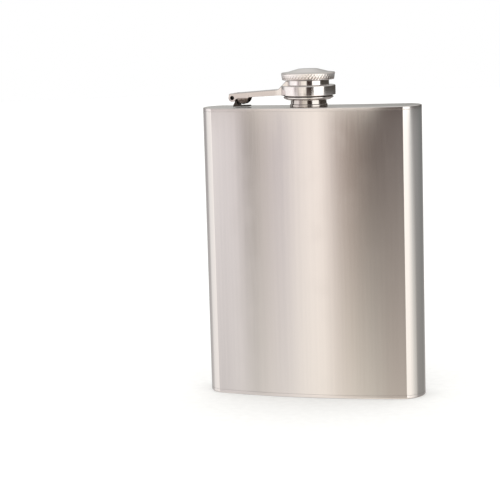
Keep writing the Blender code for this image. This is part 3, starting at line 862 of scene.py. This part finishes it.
def knurled_crown():
    """The crown, with its stem and the blind hole for the rivet."""
    rim_low = CROWN_BOTTOM_H + CROWN_CHAMFER
    rim_high = CROWN_EDGE_H - CROWN_BEVEL
    hole_r = RIVET_R + GAP
    corners = [(0, CROWN_TOP_H, 0), (CROWN_FLAT_R, CROWN_TOP_H, 2.0), (*CROWN_RING, 2.0)]
    corners += [(CROWN_TOP_R - CROWN_BEVEL, CROWN_EDGE_H, 0.2), (CROWN_TOP_R, rim_high, 0)]
    corners += [(CROWN_BOTTOM_R, rim_low, 0), (CROWN_BOTTOM_R - CROWN_CHAMFER, CROWN_BOTTOM_H, 0.1)]
    corners += [(CROWN_RECESS_R, CROWN_BOTTOM_H, 0.15), (CROWN_RECESS_R, CROWN_CEILING_H, 0.3)]
    corners += [(STEM_R, CROWN_CEILING_H, 0.3), (STEM_R, STEM_BOTTOM_H, 0.15)]
    corners += [(hole_r, STEM_BOTTOM_H, 0), (hole_r, RIVET_HOLE_H, 0), (0, RIVET_HOLE_H, 0)]
    outline = rounded(corners)
    at = outline.index((CROWN_TOP_R, rim_high))
    step = (rim_high - rim_low) / (KNURL_ROWS * KNURL_STEPS)
    outline[at : at + 1] = stretch(outline[at], outline[at + 1], step)
    steps = KNURL_COUNT * KNURL_STEPS
    mesh = turned(outline, steps, knurl(rim_low, rim_high))
    piece("knurled_crown", mesh, CROWN_STEEL, "cap", "cap_crown")


def thin_washer():
    """The washer between the crown and the arm's collar."""
    inner_r = STEM_R + STEM_GAP
    corners = [(inner_r, WASHER_LOW_H, 0.1), (WASHER_R, WASHER_LOW_H, 0.15)]
    corners += [(WASHER_R, WASHER_TOP_H, 0.15), (inner_r, WASHER_TOP_H, 0.1)]
    piece("thin_washer", turned(rounded(corners)), LATHE_STEEL, "washer", "slip_washer")


def inner_sleeve():
    """The sleeve, with its bead outside, and its thread and the gasket's seat inside."""
    root = SLEEVE_ROOT_R
    hole_r = RIVET_R + GAP
    corners = [(root, SLEEVE_BOTTOM_H, 0.3), (BEAD_BOTTOM_R, SLEEVE_BOTTOM_H, 0.3)]
    corners += [(BEAD_R, BEAD_LOW_H, 0.5), (BEAD_R, BEAD_TOP_H, 0.3), (SLEEVE_R, BEAD_TOP_H, 0.1)]
    corners += [(SLEEVE_R, SLEEVE_STEP_H, 0.4), (SLEEVE_TOP_R, SLEEVE_STEP_H, 0.3)]
    corners += [(SLEEVE_TOP_R, SLEEVE_TOP_H, 0.3), (hole_r, SLEEVE_TOP_H, 0)]
    corners += [(hole_r, SLEEVE_CEILING_H, 0), (SEAT_R, SLEEVE_CEILING_H, 0.2), (SEAT_R, SEAT_H, 0.1)]
    outline = rounded(corners + [(root, SEAT_H, 0)])
    end = outline[0]
    step = THREAD_PITCH / THREAD_STEPS
    outline = outline[:-1] + stretch(outline[-1], end, step)
    crest = root - SLEEVE_THREAD_DEPTH
    shape = helix(root, crest, SLEEVE_BOTTOM_H + THREAD_PITCH, SEAT_H - THREAD_PITCH / 2)
    mesh = turned(outline, shape=shape)
    piece("inner_sleeve", mesh, SLEEVE_STEEL, "cap", "threaded_sleeve")


def flush_rivet():
    """The rivet that holds crown and sleeve together."""
    corners = [(0, RIVET_LOW_H, 0), (RIVET_HEAD_R, RIVET_LOW_H, 0.6), (RIVET_HEAD_R, RIVET_NECK_H, 0.1)]
    corners += [(RIVET_R, RIVET_NECK_H, 0), (RIVET_R, RIVET_TOP_H, 0.2), (0, RIVET_TOP_H, 0)]
    piece("flush_rivet", turned(rounded(corners)), LATHE_STEEL, "cap", "cap_rivet")


def seal_ring():
    """The gasket, which seals on the neck's mouth."""
    corners = [(GASKET_IN_R, GASKET_LOW_H, 0.2), (GASKET_OUT_R, GASKET_LOW_H, 0.25)]
    corners += [(GASKET_OUT_R, GASKET_TOP_H, 0.15), (GASKET_IN_R, GASKET_TOP_H, 0.15)]
    piece("seal_ring", turned(rounded(corners)), SEAL, "cap", "gasket")


# Studio

FLOOR_R = 2500.0
FLOOR_DROP = 0.05  # keeps the floor clear of the flask's base
LAMP = 1.8  # the strength of the overhead light
LAMP_SPREAD = 110  # degrees

# Brightness of the studio's panels round the flask: (azimuth in degrees, colour). Azimuth 0 is
# straight out of the flask's front, and +90 is to the side away from the hinge. The body reflects
# the low panels, the cap's upright faces reflect the high ones, and what slopes down reflects the
# ground.
LOW_PANELS = (
    (-180, (0.28, 0.27, 0.27)),
    (-140, (0.50, 0.49, 0.49)),
    (-118, (0.44, 0.43, 0.44)),
    (-104, (1.00, 0.99, 0.99)),
    (-60, (1.30, 1.26, 1.24)),
    (-40, (1.08, 1.04, 1.05)),
    (-37, (0.90, 0.86, 0.88)),
    (-32.5, (0.96, 0.91, 0.93)),
    (-30.5, (0.55, 0.50, 0.50)),
    (-27.5, (0.45, 0.42, 0.39)),
    (-25, (0.74, 0.67, 0.65)),
    (-20, (0.73, 0.68, 0.71)),
    (-16, (1.05, 0.98, 0.95)),
    (-9.5, (1.26, 1.16, 1.10)),
    (-7, (0.74, 0.65, 0.62)),
    (-4, (0.45, 0.37, 0.33)),
    (-1, (0.29, 0.23, 0.20)),
    (3, (0.14, 0.11, 0.10)),
    (12, (0.26, 0.23, 0.22)),
    (27, (0.12, 0.10, 0.09)),
    (28, (1.45, 1.40, 1.34)),
    (66, (1.40, 1.35, 1.30)),
    (76, (1.05, 1.03, 1.01)),
    (86, (0.67, 0.68, 0.68)),
    (98, (0.41, 0.41, 0.41)),
    (150, (0.23, 0.24, 0.24)),
)
HIGH_PANELS = (
    (-180, (0.12, 0.11, 0.10)),
    (-165, (0.50, 0.50, 0.48)),
    (-155, (0.55, 0.55, 0.53)),
    (-140, (0.24, 0.23, 0.22)),
    (-118, (0.45, 0.44, 0.44)),
    (-104, (1.10, 1.08, 1.08)),
    (-60, (1.30, 1.24, 1.25)),
    (-50, (1.05, 0.98, 1.00)),
    (-46, (0.50, 0.44, 0.44)),
    (-41, (0.46, 0.41, 0.40)),
    (-37, (0.84, 0.78, 0.76)),
    (-30, (0.60, 0.54, 0.50)),
    (-26, (1.05, 0.98, 0.90)),
    (-13, (1.08, 1.02, 0.94)),
    (3.5, (1.25, 1.20, 1.10)),
    (6, (0.05, 0.03, 0.025)),
    (36, (0.03, 0.02, 0.015)),
    (37.5, (1.95, 1.95, 1.92)),
    (80, (1.85, 1.85, 1.80)),
    (84, (0.06, 0.05, 0.04)),
    (165, (0.09, 0.08, 0.07)),
)
GROUND = (
    (-180, (0.80, 0.77, 0.74)),
    (-145, (0.52, 0.51, 0.50)),
    (-120, (0.76, 0.74, 0.73)),
    (-104, (1.05, 1.01, 0.99)),
    (-44, (1.00, 0.96, 0.93)),
    (-39, (0.52, 0.50, 0.50)),
    (-36, (0.70, 0.68, 0.66)),
    (-33, (0.92, 0.90, 0.87)),
    (-27, (0.98, 0.96, 0.92)),
    (-10, (1.09, 1.05, 0.965)),
    (-3, (1.24, 1.18, 1.07)),
    (3, (1.16, 1.11, 1.00)),
    (8, (0.88, 0.80, 0.71)),
    (26, (0.87, 0.81, 0.73)),
    (30, (1.20, 1.15, 1.06)),
    (78, (1.15, 1.10, 1.02)),
    (98, (0.90, 0.87, 0.82)),
    (103, (0.36, 0.35, 0.33)),
    (150, (0.40, 0.39, 0.37)),
    (165, (0.60, 0.57, 0.55)),
)
CEILING = (0.70, 0.70, 0.69)

# The heights of a direction (its Z) between which each other part takes over from the low panels
TO_HIGH = (-0.0605, -0.0545)
TO_GROUND = (-0.08, -0.36)
TO_CEILING = (0.15, 0.60)
BRIGHTEST = 2.0  # the colour ramps hold brightness as shares of this


def panels(tree, stops, share):
    """The panels' brightness at a share of the way round from behind the flask."""
    placed = [((degrees + 180) / 360, colour) for degrees, colour in stops]
    node = ramp(tree, placed + [(1.0, stops[0][1])], 1 / BRIGHTEST)
    tree.links.new(share, node.inputs["Fac"])
    return node.outputs["Color"]


def add_world():
    """A studio seen as directions: panels round the horizon, a pale ground below and a ceiling above."""
    world = bpy.data.worlds.new("studio")
    bpy.context.scene.world = world
    world.use_nodes = True
    tree = world.node_tree
    tree.nodes.clear()
    direction = xyz(tree, add(tree, "ShaderNodeTexCoord").outputs["Generated"])
    forwards = product(tree, direction["Y"], -1.0)
    azimuth = math_node(tree, "ARCTAN2", direction["X"], forwards)
    share = spread(tree, azimuth, 0.0, 1.0, -math.pi, math.pi)
    high = panels(tree, HIGH_PANELS, share)
    ground = panels(tree, GROUND, share)
    ceiling = tuple(c / BRIGHTEST for c in CEILING)
    colour = panels(tree, LOW_PANELS, share)
    for heights, part in ((TO_HIGH, high), (TO_GROUND, ground), (TO_CEILING, ceiling)):
        colour = mixed(tree, spread(tree, direction["Z"], 0.0, 1.0, *heights), colour, part)
    studio = add(tree, "ShaderNodeBackground", Strength=BRIGHTEST)
    tree.links.new(colour, studio.inputs["Color"])
    backdrop = add(tree, "ShaderNodeBackground", Color=(1, 1, 1, 1), Strength=1.0)
    seen = add(tree, "ShaderNodeLightPath")
    either = add(tree, "ShaderNodeMixShader")
    tree.links.new(seen.outputs["Is Camera Ray"], either.inputs["Fac"])
    tree.links.new(studio.outputs["Background"], either.inputs[1])
    tree.links.new(backdrop.outputs["Background"], either.inputs[2])
    output = add(tree, "ShaderNodeOutputWorld")
    tree.links.new(either.outputs["Shader"], output.inputs["Surface"])


def add_floor():
    """A pale round floor. The steel doesn't reflect it, and reflects the studio's ground instead."""
    mesh = bmesh.new()
    bmesh.ops.create_circle(mesh, cap_ends=True, segments=ROUND_STEPS, radius=FLOOR_R * MM)
    bmesh.ops.translate(mesh, verts=mesh.verts, vec=(0, 0, -FLOOR_DROP * MM))
    floor = loose("floor", mesh)
    paper, tree, shader, place = blank("pale_floor")
    shader.inputs["Roughness"].default_value = 0.9
    shade = ramp(tree, ((0.3, (0.90, 0.90, 0.89)), (0.7, (0.94, 0.94, 0.93))))
    tree.links.new(noise(tree, place, (0.3, 0.3, 0.3), 3.0), shade.inputs["Fac"])
    tree.links.new(shade.outputs["Color"], shader.inputs["Base Color"])
    floor.data.materials.append(paper)
    floor.visible_glossy = False


def add_lamp():
    """A very broad soft light from overhead, which leaves only a faint shadow."""
    data = bpy.data.lights.new("overhead_softbox", "SUN")
    data.angle = math.radians(LAMP_SPREAD)
    data.energy = LAMP
    lamp = bpy.data.objects.new("overhead_softbox", data)
    bpy.context.scene.collection.objects.link(lamp)
    lamp.visible_glossy = False


# Camera

CAMERA_AZIMUTH = 13.7
CAMERA_ELEVATION = 8.38
CAMERA_DISTANCE = 714.0
CAMERA_ROLL = -1.65
AIM_DEPTH = 14.0  # from the front of the flask to the point that the camera turns about
CAMERA_LENS = 119.25  # on a sensor 36 mm wide
LOOK_LEFT = 27.58  # the flask stands right of the middle of the view
LOOK_UP = 0.56


def add_camera():
    """The camera: slightly to the right of the front and above it, with a long lens."""
    azimuth = math.radians(CAMERA_AZIMUTH)
    elevation = math.radians(CAMERA_ELEVATION)
    middle = Vector((0, FRONT_Y + AIM_DEPTH, TOP_Z / 2))
    across = math.cos(elevation)
    back = Vector((math.sin(azimuth) * across, -math.cos(azimuth) * across, math.sin(elevation)))
    place = middle + back * CAMERA_DISTANCE
    right = (-back).cross(Vector((0, 0, 1))).normalized()
    aim = middle - right * LOOK_LEFT + right.cross(-back) * LOOK_UP
    forward = (aim - place).normalized()
    right = forward.cross(Vector((0, 0, 1))).normalized()
    level = Matrix((right, right.cross(forward), -forward)).transposed()
    data = bpy.data.cameras.new("camera")
    data.sensor_width = 36.0
    data.lens = CAMERA_LENS
    data.clip_start = 0.05
    data.clip_end = 20.0
    camera = bpy.data.objects.new("camera", data)
    rolled = level @ Matrix.Rotation(math.radians(CAMERA_ROLL), 3, "Z")
    camera.matrix_world = Matrix.Translation(place * MM) @ rolled.to_4x4()
    bpy.context.scene.collection.objects.link(camera)
    bpy.context.scene.camera = camera


body_wall()
top_panel()
base_panel()
pouring_neck()
hinge_post()
rolled_pin()
cap_lever()
knurled_crown()
thin_washer()
inner_sleeve()
flush_rivet()
seal_ring()
add_world()
add_floor()
add_lamp()
add_camera()
bpy.context.scene.view_settings.view_transform = "Standard"
